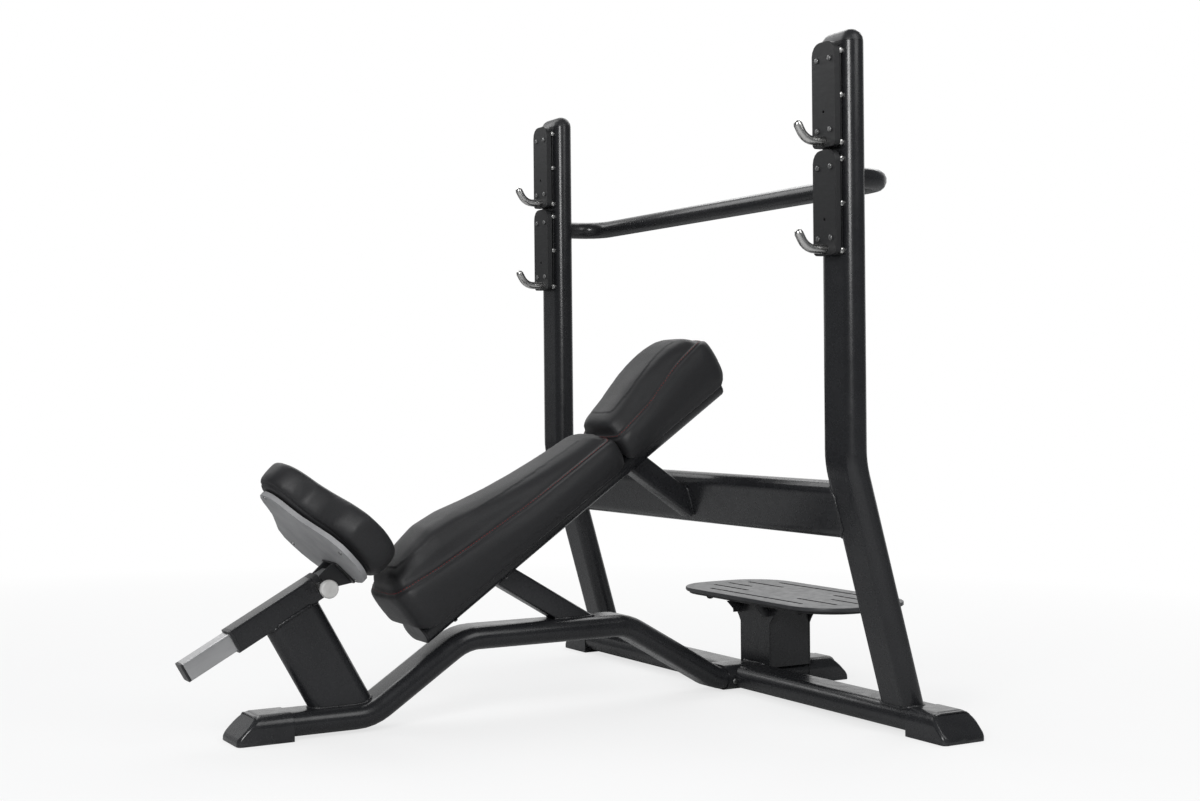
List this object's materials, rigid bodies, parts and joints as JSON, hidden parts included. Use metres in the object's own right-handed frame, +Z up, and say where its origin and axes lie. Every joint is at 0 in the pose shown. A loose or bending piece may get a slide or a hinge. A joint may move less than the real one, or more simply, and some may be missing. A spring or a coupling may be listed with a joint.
{
  "type": "adjustable weight bench",
  "caption": "Incline bench with rack uprights, bar hooks, contoured pads, a sliding seat with a pull pin, and a spotter's platform.",
  "frame": {"origin": "centre of the front foot's sole, on the floor and on the plane of symmetry", "axes": "+X across the bench towards the seat's pull pin, +Y to the rear towards the spotter's platform, +Z up"},
  "size_m": [1.552, 1.6272, 1.4102],
  "materials": {
    "frame": "satin black powder coat",
    "black_steel": "matt black powder coat",
    "moulding": "fine grained black moulding",
    "wear_plate": "matt black polymer",
    "steel": "brushed stainless",
    "aluminium": "satin anodised",
    "rubber": "matt black",
    "upholstery": "grained black vinyl upholstery with red stitching",
    "board": "plywood under a light grey backing cloth",
    "knob": "light grey moulding"
  },
  "bodies": {
    "frame": {"front_foot": "moulding", "rear_foot": "moulding", "left_foot": "moulding", "right_foot": "moulding", "rear_crossbar": "frame", "spine": "frame", "rear_extension": "frame", "spine_collar": "frame", "left_upright": "frame", "right_upright": "frame", "left_upright_cap": "moulding", "right_upright_cap": "moulding", "mid_crossbar": "frame", "upper_bar": "frame", "left_lower_wear_plate": "wear_plate", "left_lower_rack_bracket": "black_steel", "left_lower_bar_hook": "steel", "left_upper_wear_plate": "wear_plate", "left_upper_rack_bracket": "black_steel", "left_upper_bar_hook": "steel", "right_lower_wear_plate": "wear_plate", "right_lower_rack_bracket": "black_steel", "right_lower_bar_hook": "steel", "right_upper_wear_plate": "wear_plate", "right_upper_rack_bracket": "black_steel", "right_upper_bar_hook": "steel", "front_post": "frame", "seat_sleeve": "frame", "sleeve_lower_guide": "moulding", "sleeve_upper_guide": "moulding", "pull_pin_barrel": "steel", "pull_pin_spring": "steel", "backrest_tube": "frame", "backrest_lower_cap": "moulding", "backrest_upper_cap": "moulding", "back_pad": "upholstery", "head_pad": "upholstery", "upper_strut": "frame", "lower_strut": "frame", "pedestal_front_wall": "frame", "pedestal_rear_wall": "frame", "pedestal_left_wall": "frame", "pedestal_right_wall": "frame", "platform_plate": "aluminium", "platform_sheet": "black_steel", "buffer_front_left": "rubber", "buffer_front_right": "rubber", "buffer_rear_left": "rubber", "buffer_rear_right": "rubber"},
    "seat": {"seat_slide": "aluminium", "seat_slide_plug": "moulding", "seat_bracket": "black_steel", "seat_board": "board", "seat_pad": "upholstery"},
    "pull_pin": {"pull_pin": "steel", "pull_pin_knob": "knob"}
  },
  "joints": [
    {"name": "seat_slide", "type": "slide", "parent": "frame", "child": "seat", "axis": [0, 0.875, 0.4841], "range_m": [0, 0.075]},
    {"name": "pull_pin_pull", "type": "slide", "parent": "frame", "child": "pull_pin", "axis": [1, 0, 0], "range_m": [0, 0.012], "stiffness_N_per_m": 800, "deforming": ["pull_pin_spring"]}
  ]
}
